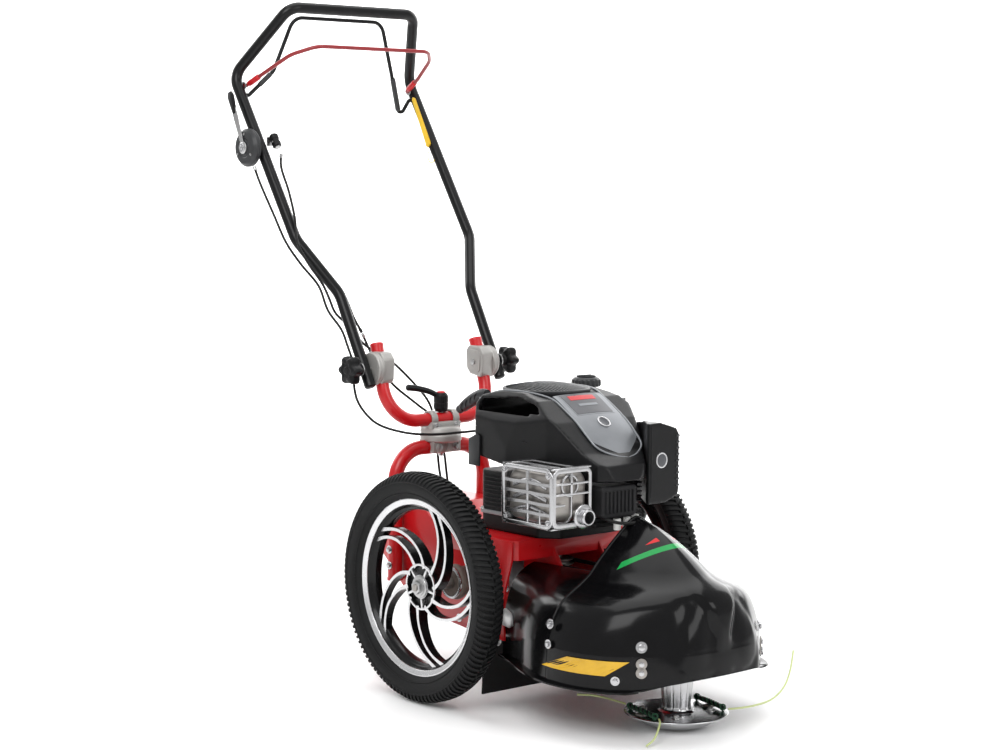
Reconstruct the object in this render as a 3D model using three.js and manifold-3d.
// Wheeled string trimmer (walk-behind brush cutter) with a forward line head,
// a vertical-shaft petrol engine, two 16-inch drive wheels and a folding,
// swivelling handle.  Millimetres, +Z up, the front of the machine faces -Y,
// the operator stands on the +Y side.  X is across the machine: the operator's
// right hand is at -X.
import * as THREE from 'three';
import { ConvexGeometry } from 'three/addons/geometries/ConvexGeometry.js';
import { mergeVertices } from 'three/addons/utils/BufferGeometryUtils.js';
import Module from 'manifold-3d';

const wasm = await Module();
wasm.setup();

// ---------------------------------------------------------------- dimensions
const ORIGIN_Y = 59.16;         // the machine is drawn about its axle, then moved by this so that the origin is under the middle of its length
const GAP = 0.3;                // clearance between touching pieces
// wheels, 16 x 2.125
const AXLE_Z = 206;
const TYRE_R = 206;
const WHEEL_X = 238;            // middle plane of each wheel
const AXLE_R = 10;
const RIM_R = 157.6;
// engine, drive and cutter spindle
const CRANK_Y = -90;
const SPINDLE_Y = -404;
const GEARBOX_Y = 38;
const HEAD_BELT_Z = 240;        // middle of the lower belt
const DRIVE_BELT_Z = 262;       // middle of the upper belt
const CRANK_HEAD_R = 26;        // pulley groove radii
const SPINDLE_GROOVE_R = 34;
const CRANK_DRIVE_R = 20;
const GEARBOX_GROOVE_R = 50;
const PLATE_R = 90;             // line head plate
// chassis
const PLATE_Z = 297;            // top of the engine plate
const SIDE_X = 93;              // outer face of the chassis box
const POST_X = 151.5;
// handle
const SWIVEL_Y = 243;
const YOKE_Z = 468;
const YOKE_R = 12.5;
const PIVOT = [273, 569];       // y, z of the fold pivot
const TUBE_R = 11;              // handlebar tube
const BAIL_R = 4;
const DRIVE_BAIL_PIVOT = [610, 1104];
const BRAKE_BAIL_PIVOT = [601, 1086];
const LATCH_PIVOT = [541, 996];
const THROTTLE = [545, 983];

// ------------------------------------------------------------------ helpers
const V = (x, y, z) => new THREE.Vector3(x, y, z);
const rad = THREE.MathUtils.degToRad;

function closed(geometry) {
  let g = geometry.index ? geometry.toNonIndexed() : geometry.clone();
  for (const n of Object.keys(g.attributes)) if (n !== 'position') g.deleteAttribute(n);
  g = mergeVertices(g, 1e-3);
  const p = g.attributes.position, at = g.index.array, keep = [];
  let volume = 0;
  const a = V(), b = V(), c = V();
  for (let i = 0; i < at.length; i += 3) {
    if (at[i] === at[i + 1] || at[i + 1] === at[i + 2] || at[i] === at[i + 2]) continue;
    a.fromBufferAttribute(p, at[i]); b.fromBufferAttribute(p, at[i + 1]); c.fromBufferAttribute(p, at[i + 2]);
    volume += a.dot(b.clone().cross(c));
    keep.push(at[i], at[i + 1], at[i + 2]);
  }
  if (volume < 0) for (let i = 0; i < keep.length; i += 3) [keep[i + 1], keep[i + 2]] = [keep[i + 2], keep[i + 1]];
  g.setIndex(keep);
  return g;
}
function man(geometry) {
  if (!geometry.isBufferGeometry) return geometry;
  const g = closed(geometry);
  return new wasm.Manifold(new wasm.Mesh({
    numProp: 3,
    vertProperties: new Float32Array(g.attributes.position.array),
    triVerts: new Uint32Array(g.index.array),
  }));
}
function geo(solid) {
  const mesh = solid.getMesh();
  const g = new THREE.BufferGeometry();
  g.setAttribute('position', new THREE.BufferAttribute(new Float32Array(mesh.vertProperties), 3));
  g.setIndex(new THREE.BufferAttribute(new Uint32Array(mesh.triVerts), 1));
  return closed(g);
}
const join = (...list) => list.map(man).reduce((a, b) => a.add(b));
const cut = (body, ...tools) => tools.map(man).reduce((a, b) => a.subtract(b), man(body));

// a box between two corners
function box(x0, x1, y0, y1, z0, z1) {
  return new THREE.BoxGeometry(x1 - x0, y1 - y0, z1 - z0).translate((x0 + x1) / 2, (y0 + y1) / 2, (z0 + z1) / 2);
}
const shapeOf = (points) => new THREE.Shape(points.map(([a, b]) => new THREE.Vector2(a, b)));
// outline in x, y, raised from z0 to z1
function plan(points, z0, z1, holes = []) {
  const s = shapeOf(points);
  for (const h of holes) s.holes.push(new THREE.Path(h.map(([a, b]) => new THREE.Vector2(a, b))));
  return new THREE.ExtrudeGeometry(s, { depth: z1 - z0, bevelEnabled: false }).translate(0, 0, z0);
}
// outline in y, z, drawn out from x0 to x1
function side(points, x0, x1) {
  const g = new THREE.ExtrudeGeometry(shapeOf(points), { depth: x1 - x0, bevelEnabled: false });
  g.applyMatrix4(new THREE.Matrix4().set(0, 0, 1, x0, 1, 0, 0, 0, 0, 1, 0, 0, 0, 0, 0, 1));
  return g;
}
// turned solid, profile of [radius, height], about Z or X
function turnZ(profile, x, y, segments = 18) {
  return new THREE.LatheGeometry(profile.map(([r, h]) => new THREE.Vector2(r, h)), segments).rotateX(Math.PI / 2).translate(x, y, 0);
}
function turnX(profile, y, z, segments = 18) {
  return new THREE.LatheGeometry(profile.map(([r, h]) => new THREE.Vector2(r, h)), segments).rotateZ(-Math.PI / 2).translate(0, y, z);
}
const rodZ = (r, z0, z1, x, y, n = 12) => turnZ([[0, z0], [r, z0], [r, z1], [0, z1]], x, y, n);
const rodX = (r, x0, x1, y, z, n = 12) => turnX([[0, x0], [r, x0], [r, x1], [0, x1]], y, z, n);
const ring = (profile) => [...profile, profile[0]];

// a path that keeps exactly the points it is given
class Run extends THREE.Curve {
  constructor(points) { super(); this.points = points; }
  getPoint(t) {
    const n = this.points.length - 1, k = Math.min(Math.floor(t * n + 1e-9), n - 1);
    return this.points[k].clone().lerp(this.points[k + 1], t * n - k);
  }
  getPointAt(u) { return this.getPoint(u); }
  getTangentAt(u) {
    const n = this.points.length - 1, k = Math.round(u * n);
    const back = k > 0 ? this.points[k].clone().sub(this.points[k - 1]).normalize() : V(0, 0, 0);
    const on = k < n ? this.points[k + 1].clone().sub(this.points[k]).normalize() : V(0, 0, 0);
    return back.add(on).normalize();
  }
}
// straight runs joined by round bends: corners are [x, y, z, bend radius]
function bent(corners, steps = 4) {
  const out = [];
  corners.forEach(([x, y, z, r], i) => {
    const p = V(x, y, z);
    if (!r || i === 0 || i === corners.length - 1) { out.push(p); return; }
    const a = V(...corners[i - 1].slice(0, 3)).sub(p).normalize();
    const b = V(...corners[i + 1].slice(0, 3)).sub(p).normalize();
    const half = a.angleTo(b) / 2, reach = r / Math.tan(half);
    const centre = a.clone().add(b).normalize().multiplyScalar(r / Math.sin(half)).add(p);
    const from = a.multiplyScalar(reach).add(p).sub(centre), to = b.multiplyScalar(reach).add(p).sub(centre);
    const turn = from.angleTo(to);
    for (let k = 0; k <= steps; k++) {
      const t = k / steps;
      out.push(from.clone().multiplyScalar(Math.sin((1 - t) * turn) / Math.sin(turn)).add(to.clone().multiplyScalar(Math.sin(t * turn) / Math.sin(turn))).add(centre));
    }
  });
  return out;
}
const smooth = (points, n) => new THREE.CatmullRomCurve3(points.map((p) => V(...p)), false, 'centripetal').getSpacedPoints(n);
function tube(points, r, sides = 10) {
  const s = shapeOf(Array.from({ length: sides }, (_, i) => [r * Math.cos((2 * Math.PI * i) / sides), r * Math.sin((2 * Math.PI * i) / sides)]));
  return new THREE.ExtrudeGeometry(s, { steps: points.length - 1, extrudePath: new Run(points), bevelEnabled: false });
}
const mirror = (solid) => man(solid).mirror([1, 0, 0]);

// outer outline around a set of points in the plane
function outline(points) {
  const p = [...points].sort((a, b) => a[0] - b[0] || a[1] - b[1]);
  const turn = (o, a, b) => (a[0] - o[0]) * (b[1] - o[1]) - (a[1] - o[1]) * (b[0] - o[0]);
  const half = (list) => {
    const h = [];
    for (const q of list) { while (h.length > 1 && turn(h.at(-2), h.at(-1), q) <= 0) h.pop(); h.push(q); }
    return h.slice(0, -1);
  };
  return [...half(p), ...half([...p].reverse())];
}
const circle = (x, y, r, n = 24) => Array.from({ length: n }, (_, i) => [x + r * Math.cos((2 * Math.PI * i) / n), y + r * Math.sin((2 * Math.PI * i) / n)]);
// V belt around two pulleys on the machine's middle plane
function belt(y0, r0, y1, r1, z) {
  const loop = (more) => outline([...circle(0, y0, r0 + more, 18), ...circle(0, y1, r1 + more, 18)]);
  return plan(loop(6.6), z - 3, z + 3, [loop(1.3)]);
}
// pulley groove for a belt at height z: [radius, height] points, rising
const groove = (r, z) => [[r + 8, z - 5.5], [r + 8, z - 3.5], [r, z - 3.5], [r, z + 3.5], [r + 8, z + 3.5], [r + 8, z + 5.5]];

// ---------------------------------------------------------------- materials
const paint = (color, roughness, metalness = 0) => new THREE.MeshStandardMaterial({ color, roughness, metalness });
const M = {
  red: paint(0xc01018, 0.35), satin: paint(0x1d1e20, 0.5), gloss: paint(0x0b0c0e, 0.12), rubber: paint(0x1a1a1b, 0.85),
  casting: paint(0xb9b7ae, 0.5, 0.4), zinc: paint(0xc3cbd0, 0.28, 0.9), steel: paint(0x8e9296, 0.35, 0.9), black: paint(0x17181a, 0.55),
  silver: paint(0xd2d4d6, 0.25, 0.9), grey: paint(0x6e7275, 0.5), alloy: paint(0x9b9c99, 0.45, 0.8), line: paint(0xd6e67a, 0.4),
  green: paint(0x3d7a2e, 0.6), yellow: paint(0xe8c82a, 0.4), darkred: paint(0x9c1218, 0.35),
};
const machine = new THREE.Group();
machine.position.y = -ORIGIN_Y;
function add(name, solid, material) {
  const mesh = new THREE.Mesh(solid.isBufferGeometry ? closed(solid) : geo(solid), material);
  mesh.name = name;
  machine.add(mesh);
}

// ------------------------------------------------------------------ chassis
{
  // folded box that carries the gearbox and axle, open below
  const outer = [[-66, 292], [-66, 116], [52, 104], [122, 111], [232, 148], [314, 218], [325, 268], [300, 315], [182, 315], [150, 292]];
  const inner = [[-80, 288], [-80, 60], [180, 60], [310, 215], [320.5, 267], [297, 311], [183, 311], [151.5, 288]];
  let frame = cut(side(outer, -SIDE_X, SIDE_X), side(inner, -SIDE_X + 4, SIDE_X - 4));
  // engine plate: a tray with a turned-down lip
  const tray = [[-150, 40], [-150, -134], [-138, -148], [138, -148], [150, -134], [150, 40]];
  const under = [[-146, 60], [-146, -132], [-136, -144], [136, -144], [146, -132], [146, 60]];
  frame = join(frame, cut(plan(tray, 262, PLATE_Z), plan(under, 250, 292)));
  // tapered posts at both front corners
  const post = [[-98, 296], [-146, 296], [-144, 262], [-128, 212], [-121, 173], [-126, 126], [-126, 118], [-100, 118], [-106, 188]];
  frame = join(frame, side(post, -POST_X, -POST_X + 4), side(post, POST_X - 4, POST_X));
  // foot rails tie the posts to the box
  for (const k of [-1, 1]) {
    const [a, b] = [Math.min(k * POST_X, k * (POST_X - 4)), Math.max(k * POST_X, k * (POST_X - 4))];
    frame = join(frame, box(a, b, -120, -64, 118, 150), box(Math.min(k * POST_X, k * (SIDE_X - 2)), Math.max(k * POST_X, k * (SIDE_X - 2)), -70, -64, 118, 150));
  }
  // tongue that carries the cutter spindle, hung from the plate by two cheeks
  const cheek = [[-62, 290], [-62, 200], [-200, 200], [-140, 290]];
  frame = join(frame, box(-56, 56, -448, -62, 200, 204), side(cheek, -56, -52), side(cheek, 52, 56));
  // room for the crankshaft, the drive belt, the spindle and the axle
  frame = cut(frame,
    rodZ(30, 280, 310, 0, CRANK_Y, 20),
    box(-51.5, 51.5, -90, -30, 205, 291.9),
    rodZ(26, 190, 210, 0, SPINDLE_Y, 20),
    box(-70, 70, -68, -60, 205, 287.9),
    rodX(16, -120, 120, 0, AXLE_Z, 20));
  add('chassis_frame', frame, M.red);
}
// arched tube that carries the handle swivel
add('frame_arch_tube', cut(
  tube(bent([[-108.4, 245, 168], [-108.4, 245, 415, 62], [108.4, 245, 415, 62], [108.4, 245, 168]], 4), 14, 12),
  rodZ(5.6, 380, 440, 0, SWIVEL_Y, 12)), M.red);

// ------------------------------------------------- gearbox, axle and wheels
add('gearbox_housing', cut(join(
  side([[-32, 172], [-18, 160], [30, 160], [66, 182], [66, 236], [56, 246], [-22, 246], [-32, 236]], -58, 58),
  rodX(30, -88.5, 88.5, 0, AXLE_Z, 20)), rodX(AXLE_R + 0.4, -100, 100, 0, AXLE_Z, 20),
  rodZ(8.5, 230, 250, 0, GEARBOX_Y, 16)), M.alloy);
for (const s of [-1, 1]) {
  const bearing = turnX(ring([[AXLE_R + 0.4, 93.4], [34, 93.4], [34, 100], [27, 104], [26, 160], [29, 162], [29, 172], [AXLE_R + 0.4, 172]]), 0, AXLE_Z, 20);
  add(s < 0 ? 'axle_bearing_right' : 'axle_bearing_left', s < 0 ? mirror(bearing) : bearing, M.grey);
}
add('axle_shaft', turnX([[0, -250], [8, -250], [AXLE_R, -248], [AXLE_R, 248], [8, 250], [0, 250]], 0, AXLE_Z, 20), M.steel);
{
  const section = [[158.2, -11], [170, -24], [182, -27], [195, -24], [TYRE_R, -8], [TYRE_R, 8], [195, 24], [182, 27], [170, 24], [158.2, 11]];
  const tyre = turnX(ring(section.map(([r, h]) => [r, h + WHEEL_X])), 0, 0, 32);
  // rim: channel, hub and five pairs of swept leaf spokes
  let rim = man(turnX(ring([[137, -12.5], [RIM_R, -12.5], [RIM_R, 12.5], [148, 12.5], [137, 4]].map(([r, h]) => [r, h + WHEEL_X])), 0, 0, 32));
  const hub = turnX([[0, 214], [30, 214], [41.5, 224], [41.5, 241], [0, 241]], 0, 0, 20);
  // each blade is a thin curved wall, given by radius and angle from the front
  const blade = (stations) => {
    const mid = stations.map(([r, a]) => [-r * Math.cos(rad(a)), r * Math.sin(rad(a))]);
    const sideways = mid.map((p, k) => {
      const a = mid[Math.max(0, k - 1)], b = mid[Math.min(mid.length - 1, k + 1)], l = Math.hypot(b[0] - a[0], b[1] - a[1]);
      return [-(b[1] - a[1]) / l * 2.4, (b[0] - a[0]) / l * 2.4];
    });
    return side([...mid.map((p, k) => [p[0] + sideways[k][0], p[1] + sideways[k][1]]), ...mid.map((p, k) => [p[0] - sideways[k][0], p[1] - sideways[k][1]]).reverse()], 222, 240.5);
  };
  for (let k = 0; k < 5; k++) {
    const turn = 72 * k;
    rim = rim.add(man(blade([[38, 40], [64, 48], [86, 55], [106, 62], [126, 71], [141, 78.5]].map(([r, a]) => [r, a + turn]))))
      .add(man(blade([[38, 0], [56, 16], [76, 31], [97, 44], [119, 56.5], [141, 68.5]].map(([r, a]) => [r, a + turn]))));
  }
  rim = rim.add(man(hub)).subtract(man(rodX(AXLE_R + 0.5, 200, 270, 0, 0, 14)));
  const nut = cut(join(turnX([[0, 241.3], [20, 241.3], [20, 243.5], [0, 243.5]], 0, 0, 14), turnX([[0, 243], [13, 243], [13, 252], [0, 252]], 0, 0, 6)), rodX(AXLE_R + 0.35, 235, 270, 0, 0, 14));
  for (const s of [-1, 1]) {
    const word = s < 0 ? 'right' : 'left', put = (g) => (s < 0 ? mirror(g) : man(g)).translate([0, 0, AXLE_Z]);
    add('tyre_' + word, put(tyre), M.rubber);
    add('rim_' + word, put(rim), M.silver);
    add('wheel_nut_' + word, put(nut), M.zinc);
  }
}

// ------------------------------------------------------- belts and pulleys
add('crankshaft_pulley', turnZ([[0, 226], [10, 226], [10, 231], ...groove(CRANK_HEAD_R, HEAD_BELT_Z), [14, 247], [14, 255.5], ...groove(CRANK_DRIVE_R, DRIVE_BELT_Z), [12.5, 268], [12.5, 330], [0, 330]], 0, CRANK_Y, 16), M.steel);
add('head_belt', belt(CRANK_Y, CRANK_HEAD_R, SPINDLE_Y, SPINDLE_GROOVE_R, HEAD_BELT_Z), M.rubber);
add('drive_belt', belt(CRANK_Y, CRANK_DRIVE_R, GEARBOX_Y, GEARBOX_GROOVE_R, DRIVE_BELT_Z), M.rubber);
add('gearbox_pulley', turnZ([[0, 232], [8, 232], [8, 250], [14, 250], [14, 256.5], ...groove(GEARBOX_GROOVE_R, DRIVE_BELT_Z), [10, 267.5], [10, 278], [0, 278]], 0, GEARBOX_Y, 18), M.steel);
add('spindle_housing', turnZ(ring([[AXLE_R + 0.6, 104], [23, 104], [24, 108], [24, 184], [44, 190], [44, 199.7], [AXLE_R + 0.6, 199.7]]), 0, SPINDLE_Y, 16), M.alloy);
add('spindle_shaft', turnZ([[0, 20.6], [AXLE_R, 20.6], [AXLE_R, 212], [14, 212], [14, 234], ...groove(SPINDLE_GROOVE_R, HEAD_BELT_Z), [12, 246], [12, 254], [0, 254]], 0, SPINDLE_Y, 16), M.steel);
add('head_plate', turnZ(ring([[AXLE_R + 0.4, 20.3], [86, 20.3], [PLATE_R, 22.5], [86, 24.5], [27, 24.5], [24, 27], [28.5, 72], [28.5, 101], [AXLE_R + 0.4, 101]]), 0, SPINDLE_Y, 28), M.zinc);
add('glide_cup', turnZ([[0, 0], [40, 0], [58, 5], [68, 13], [68, 20], [0, 20]], 0, SPINDLE_Y, 24), M.zinc);

// twisted line bundles on the plate and the loose ends of the cutting line
const bundle = (a, b) => tube(smooth([a, [(a[0] + b[0]) / 2, (a[1] + b[1]) / 2, (a[2] + b[2]) / 2 + 1.5], b], 6), 5.4, 8);
add('line_bundle_right', bundle([-57, -345, 30.6], [-79, -437, 30.6]), M.green);
add('line_bundle_left', bundle([57, -463, 30.6], [79, -371, 30.6]), M.green);
const LINE_R = 1.7;
add('trimmer_line_1', tube(smooth([[57, -472, 31], [72, -478, 31], [106, -486, 32], [148, -488, 37], [188, -480, 52], [216, -468, 74], [238, -455, 104]], 22), LINE_R, 8), M.line);
add('trimmer_line_2', tube(smooth([[-55, -336.5, 31], [-62, -326, 34], [-78, -314, 40], [-100, -300, 46], [-122, -286, 48]], 12), LINE_R, 8), M.line);
add('trimmer_line_3', tube(smooth([[-82, -445.5, 30], [-90, -456, 28], [-106, -468, 20], [-126, -478, 9], [-146, -482, 3]], 12), LINE_R, 8), M.line);

// -------------------------------------------------------- hood over the head
const SKIRT = [[136, -104], [155, -160], [186, -223], [202, -268], [210, -318], [206, -367], [190, -410], [172, -437], [148, -459], [112, -484], [60, -503], [0, -510]];
{
  const half = (list) => [...list, ...list.filter(([x]) => x > 0).map(([x, y]) => [-x, y])];
  const level = (z, k, keep = 0) => half(SKIRT).map(([x, y]) => V(x * k, -300 + (y + 300) * (y < -300 ? k + (1 - k) * keep : 1), z));
  const shell = (t) => {
    const k = 1 - t / 190;
    const dome = [...level(t ? 40 : 86, k), ...level(150, 0.985 * k, 0.3), ...level(190 - t, 0.92 * k, 0.6), ...level(222 - t, 0.8 * k, 0.75), ...level(240 - t, 0.62 * k, 0.75), ...level(250 - t, 0.42 * k, 0.7)];
    const hump = [
      [0, -300, 347], [14, -300, 342], [34, -300, 326], [62, -300, 303], [99, -300, 267], [128, -300, 232], [150, -300, 190],
      [0, -345, 335], [34, -345, 318], [66, -345, 292], [104, -345, 252], [0, -400, 306], [36, -400, 291], [72, -400, 262], [110, -400, 220],
      [0, -455, 268], [36, -455, 256], [74, -455, 230], [110, -452, 190], [0, -492, 241], [34, -489, 236], [70, -482, 208], [100, -470, 170], [0, -503, 225], [30, -501, 215],
    ].flatMap(([x, y, z]) => [[x, y, z], [-x, y, z]]).map(([x, y, z]) => V(x * k, -300 + (y + 300) * k - (y === -300 && t ? -2 : 0), z - t));
    return join(new ConvexGeometry(dome), new ConvexGeometry([...hump, V(-60, -300, 100), V(60, -300, 100), V(0, -480, 100)]));
  };
  // lip round the lower edge, from the rear corners to the front corners
  const lip = half([[146, -104], [166, -160], [197, -223], [213, -268], [221, -318], [217, -367], [202, -415], [185, -441], [164, -454], [120, -454]]);
  let hood = join(shell(0), plan(outline(lip), 86, 89));
  hood = cut(hood, shell(4),
    // raised front edge, so that the line can reach grass ahead of the hood
    side([[-452, 60], [-530, 60], [-530, 112], [-512, 106.5], [-452, 86]], -300, 300),
    // belt tunnel, open towards the engine
    box(-62, 62, -303.5, -90, 176, 400),
    box(-300, 300, -104, 0, 0, 400));
  add('deck_hood', hood, M.gloss);
}
for (const s of [-1, 1]) {
  const clip = join(side([[-160, 152], [-150, 146], [-122, 150], [-122, 174], [-140, 180], [-160, 172]], 158, 161), box(151.8, 159, -132, -122, 154, 170));
  add(s < 0 ? 'hood_bracket_right' : 'hood_bracket_left', s < 0 ? mirror(clip) : man(clip), M.zinc);
}
add('mud_flap', side([[-84, 116], [-80, 116], [-74, 14], [-78, 14]], -160, 160), M.rubber);

// ------------------------------------------------------------------- engine
add('engine_block', cut(join(
  plan([[-96, 0], [-80, 20], [80, 20], [96, 0], [96, -150], [70, -182], [-70, -182], [-96, -150]], PLATE_Z + GAP, 404),
  box(-62, 40, -262, -170, 326, 404),
  box(-82, -4, -300, -255, 352, 405)), rodZ(13.2, 290, 332, 0, CRANK_Y, 16)), M.black);
{
  // blower housing: side outline crossed with a tapered plan, hollow below
  const profile = [[20, 436], [16, 520], [2, 541], [-40, 551], [-100, 551], [-150, 540], [-205, 507], [-262, 458], [-300, 438], [-309, 411], [-170, 411]];
  const top = [[-96, 20], [96, 20], [116, 0], [119, -90], [112, -155], [70, -236], [24, -297], [0, -309], [-60, -309], [-84, -292], [-112, -190], [-120, -90], [-116, 0]];
  const body = man(side(profile, -130, 130)).intersect(man(plan(top, 400, 560)));
  const tall = [[-122, 405], [122, 405], [118, 500], [96, 545], [80, 556], [-80, 556], [-96, 545], [-118, 500]];
  const front = new THREE.ExtrudeGeometry(shapeOf(tall), { depth: 360, bevelEnabled: false }).rotateX(Math.PI / 2).translate(0, 40, 0);
  const hollow = man(side([[14, 405], [10, 515], [-2, 533], [-98, 543], [-148, 532], [-202, 499], [-258, 450], [-294, 430], [-300, 405]], -110, 110))
    .intersect(man(plan([[-88, 14], [88, 14], [108, -2], [111, -90], [104, -153], [62, -233], [18, -291], [-3, -302], [-56, -302], [-78, -286], [-104, -188], [-112, -90], [-108, -2]], 400, 560)));
  add('engine_shroud', cut(body.intersect(man(front)), hollow, box(-58, 58, -300, -265, 400, 412), rodZ(80, 545.5, 560, 0, -62, 20),
    side([[-118, 560], [-122, 544.5], [-152, 537], [-206, 504], [-250, 466], [-240, 560]], -57, 57)), M.satin);
}
add('cooling_grille', cut(turnZ([[0, 545.8], [79.5, 545.8], [79.5, 552], [74, 555], [40, 561], [0, 563]], 0, -62, 20),
  ...[-45, -27, -9, 9, 27, 45].map((x) => box(x - 3, x + 3, -62 - 52, -62 + 52, 552, 570))), M.grey);
add('badge_panel', side([[-141.8, 546], [-142.6, 540.2], [-152, 537.6], [-206, 504.7], [-249, 467.2], [-246.5, 470], [-205.5, 508.5], [-152, 541.5]], -54, 54), M.silver);
add('fuel_tank', cut(join(box(121, 152, -112, 6, 424, 528), rodZ(19, 526, 543, 134, -22, 16)), rodZ(11, 440, 560, 134, -22, 12)), M.black);
add('fuel_cap', cut(turnZ([[0, 543.3], [26, 543.3], [27, 547], [26, 558], [20, 562], [0, 563]], 134, -22, 20), box(118, 124, -38, -6, 559, 570), box(144, 150, -38, -6, 559, 570)), M.black);
add('air_filter_cover', cut(
  man(plan([[28, -301], [106, -296], [116, -284], [122, -196], [108, -160], [28, -290]], 355, 515)).intersect(man(
    new THREE.ExtrudeGeometry(shapeOf([[20, 364], [72, 364], [104, 374], [116, 400], [118, 466], [100, 494], [60, 506], [20, 506]]), { depth: 170, bevelEnabled: false }).rotateX(Math.PI / 2).translate(0, -140, 0))),
  plan([[121, 0], [120.6, -90], [113.4, -155.4], [71.2, -237], [25, -298.4], [0, -311], [-60, 0]], 340, 520)), M.satin);
{
  const can = join(box(-181, -102, -286, -166, 346, 434), box(-104, -96.5, -240, -200, 360, 400));
  add('muffler', cut(join(can, new THREE.CylinderGeometry(13, 13, 26, 16).translate(-119, -296, 357)), new THREE.CylinderGeometry(10.5, 10.5, 20, 16).translate(-119, -302, 357), box(-121.5, -90, -300, -150, 404, 460)), M.steel);
  // pressed guard: an open box of straps around the can
  let guard = cut(box(-190, -98.5, -294, -160, 338, 444), box(-184, -90, -289, -163, 343, 439));
  for (let k = 0; k < 5; k++) guard = cut(guard, box(-200, -180, -280 + 0, -174, 350 + 18 * k, 362 + 18 * k));
  guard = join(guard, box(-190, -184.5, -230, -224, 344, 440));
  guard = cut(guard, box(-176, -90, -300, -280, 350, 364 + 66), box(-176, -94, -270, -176, 440, 450), box(-176, -94, -270, -176, 330, 344));
  guard = cut(join(guard, box(-180, -98.5, -294, -289.5, 398, 403)), box(-121.5, -90, -300, -150, 404, 460), new THREE.CylinderGeometry(14, 14, 40, 14).translate(-119, -296, 357));
  add('muffler_guard', guard, M.silver);
}
add('starter_grip', cut(tube(bent([[-62, 38, 534], [-62, 74, 520, 40], [-62, 112, 500]], 3), 11.5, 10), new THREE.CylinderGeometry(3, 3, 30, 8).translate(-62, 20, 536)), M.grey);

// ------------------------------------------------------------------- handle
const yokePath = bent([[-121, 287, 612], [-127, SWIVEL_Y, YOKE_Z, 67], [127, SWIVEL_Y, YOKE_Z, 67], [121, 287, 612]], 5);
const boltBore = (r) => rodX(r, -230, 230, PIVOT[0], PIVOT[1], 14);
add('handle_yoke', cut(tube(yokePath, YOKE_R, 12), boltBore(5.4), rodZ(5.6, 440, 500, 0, SWIVEL_Y, 12)), M.red);
add('swivel_base_casting', cut(join(
  turnZ([[0, 424], [36, 424], [40, 430], [40, 441.6], [0, 441.6]], 0, SWIVEL_Y, 24),
  box(-34, 34, 222, 268, 404, 430)), tube([V(-60, 245, 415), V(60, 245, 415)], 14.5, 12), rodZ(5.6, 395, 450, 0, SWIVEL_Y, 12)), M.casting);
add('swivel_top_casting', cut(join(
  turnZ([[0, 442], [40, 442], [40, 450], [36, 455], [0, 455]], 0, SWIVEL_Y, 24),
  box(-36, 36, 224, 262, 448, 464)), tube([V(-70, SWIVEL_Y, YOKE_Z), V(70, SWIVEL_Y, YOKE_Z)], YOKE_R + 0.5, 12), rodZ(5.6, 435, 490, 0, SWIVEL_Y, 12)), M.casting);
add('clamp_lever', join(
  rodZ(5, 396, 486, 0, SWIVEL_Y, 12),
  turnZ([[0, 481.2], [11, 481.2], [14, 488], [14, 512], [10, 518], [0, 518]], 0, SWIVEL_Y, 16),
  tube(bent([[0, 243, 508], [-24, 250, 522, 14], [-70, 264, 530]], 3), 6, 8)), M.black);
{
  const block = cut(join(
    side([[249, 548], [256, 540], [288, 545], [298, 556], [300, 592], [290, 602], [258, 600], [247, 588]], 107.5, 135.2),
    turnX([[0, 134], [30, 134], [31, 137], [31, 147.4], [0, 147.4]], ...PIVOT, 18)),
    tube(yokePath, YOKE_R + 0.5, 12), rodX(5.4, 90, 160, ...PIVOT, 14));
  const lobes = [];
  for (let k = 0; k < 36; k++) { const a = (2 * Math.PI * k) / 36; const r = 25.5 + 3.5 * Math.cos(6 * a); lobes.push([PIVOT[0] + r * Math.cos(a), PIVOT[1] + r * Math.sin(a)]); }
  const knob = join(side(lobes, 180, 204), rodX(11, 171, 181, ...PIVOT, 16), rodX(5, 103, 172, ...PIVOT, 14));
  for (const s of [-1, 1]) {
    const word = s < 0 ? 'right' : 'left';
    add('joint_casting_' + word, s < 0 ? mirror(block) : block, M.casting);
    add('pivot_knob_' + word, s < 0 ? mirror(knob) : knob, M.black);
  }
}
add('handlebar', cut(tube(bent([
  [-159, 256, 538], [-161, 351, 707, 60], [-214, 419, 809, 60], [-217, 625, 1124, 34], [-152, 527, 1255, 34],
  [152, 527, 1255, 34], [217, 625, 1124, 34], [214, 419, 809, 60], [161, 351, 707, 60], [159, 256, 538]], 3), TUBE_R, 12),
  boltBore(5.4)), M.satin);
add('drive_bail', tube(bent([
  [-205.4, ...DRIVE_BAIL_PIVOT], [-199, ...DRIVE_BAIL_PIVOT, 5], [-190, 560, 1128, 40], [-171, 497, 1162, 60], [-136, 457, 1178, 34],
  [136, 457, 1178, 34], [171, 497, 1162, 60], [190, 560, 1128, 40], [199, ...DRIVE_BAIL_PIVOT, 5], [205.4, ...DRIVE_BAIL_PIVOT]], 2), BAIL_R, 8), M.darkred);
add('brake_bail', tube(bent([
  [-205.4, ...BRAKE_BAIL_PIVOT], [-198, ...BRAKE_BAIL_PIVOT, 5], [-146, 592, 1134, 24], [-108, 576, 1240, 30],
  [108, 576, 1240, 30], [143, 590, 1144, 60], [187, 618, 1050, 7], [199, ...BRAKE_BAIL_PIVOT, 5], [205.4, ...BRAKE_BAIL_PIVOT]], 2), BAIL_R, 8), M.satin);
add('latch_lever', side([[541, 988], [547, 991], [549, 998], [594, 1086], [592, 1092], [586, 1090], [537, 1003], [534, 996]], 201, 204.6), M.yellow);
add('throttle_housing', cut(turnX([[0, 228.4], [32, 228.4], [37, 232], [37, 240], [31, 247], [0, 248]], ...THROTTLE, 20), rodX(5, 243, 256, ...THROTTLE, 12)).mirror([1, 0, 0]), M.grey);
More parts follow.
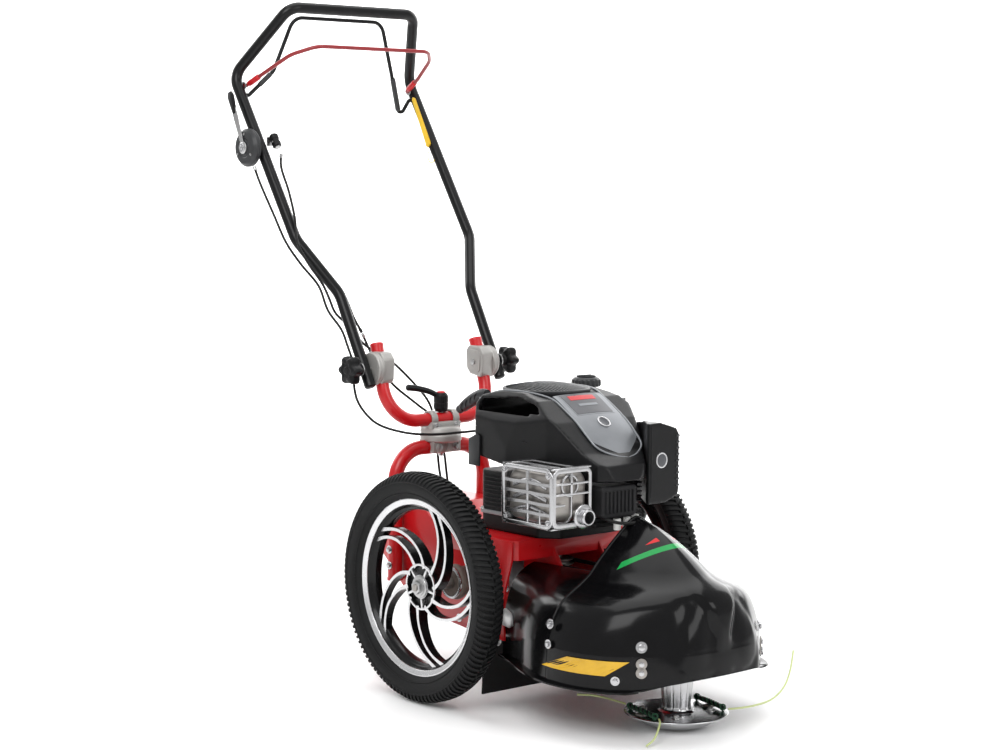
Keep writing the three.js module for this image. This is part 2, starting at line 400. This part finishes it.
add('throttle_lever', join(rodX(12, 248.4, 252.5, ...THROTTLE, 16), rodX(4.6, 244, 249, ...THROTTLE, 12), side([[541, 990], [549, 986], [591, 1078], [591, 1088], [584, 1090], [579, 1083]], 248.6, 251.6)).mirror([1, 0, 0]), M.black);
add('cable_bracket', man(join(box(-207, -196, 505, 527, 986, 1004), new THREE.CylinderGeometry(9, 9, 26, 14).rotateX(rad(33)).translate(-198, 510, 996))), M.grey);

// Bowden cables, each in two lengths that meet at the fold pivot
const CABLE_R = 2.5;
const cable = (points, n) => tube(smooth(points, n), CABLE_R, 6);
add('throttle_cable_upper', cable([[-238, 523.6, 947], [-237, 510, 922], [-234, 464, 856], [-228, 430, 802], [-211, 406, 762], [-188, 382, 722], [-187, 352, 676], [-177, 322, 640], [-176, 304, 610], [-174.6, 290, 584]], 22), M.black);
add('throttle_cable_lower', cable([[-174.6, 288.6, 580], [-174.6, 287, 562], [-176.5, 283, 534], [-174, 272, 505], [-152, 250, 470], [-112, 218, 452], [-60, 194, 446], [0, 188, 446], [60, 188, 445], [100, 170, 440], [112, 130, 428], [104, 80, 412], [96, 34, 396], [88, 24.5, 388]], 28), M.black);
add('drive_cable_upper', cable([[-199, 489, 972], [-200, 488, 948], [-203, 458, 900], [-213, 424, 850], [-223, 400, 803], [-211, 383, 765], [-192, 362, 725], [-184, 352, 698], [-172, 350, 672], [-156, 338, 652], [-147, 325, 638]], 26), M.black);
add('drive_cable_lower', cable([[-146.5, 323.5, 636], [-140, 317, 622], [-118, 312, 603], [-77, 311, 583], [-25, 304, 538], [10, 294, 495], [21, 290, 460], [22, 288, 428], [18, 276, 400], [12, 262, 365], [10, 252, 340], [10, 248, 318]], 24), M.black);
add('brake_cable_upper', cable([[-194, 590, 1040], [-199, 568, 1012], [-203, 542, 975], [-204, 511, 930], [-203, 460, 850], [-201, 434, 809], [-175, 402, 760], [-143, 364, 707], [-136, 340, 662], [-130, 322, 634]], 22), M.black);
add('brake_cable_lower', cable([[-129.5, 321, 632], [-118, 321, 610], [-96, 320, 574], [-62, 314, 532], [-10, 303, 490], [32, 295, 456], [36, 289, 425], [35, 276, 396], [32, 266, 365], [34, 264, 340], [36, 266, 318]], 24), M.black);

export default machine;
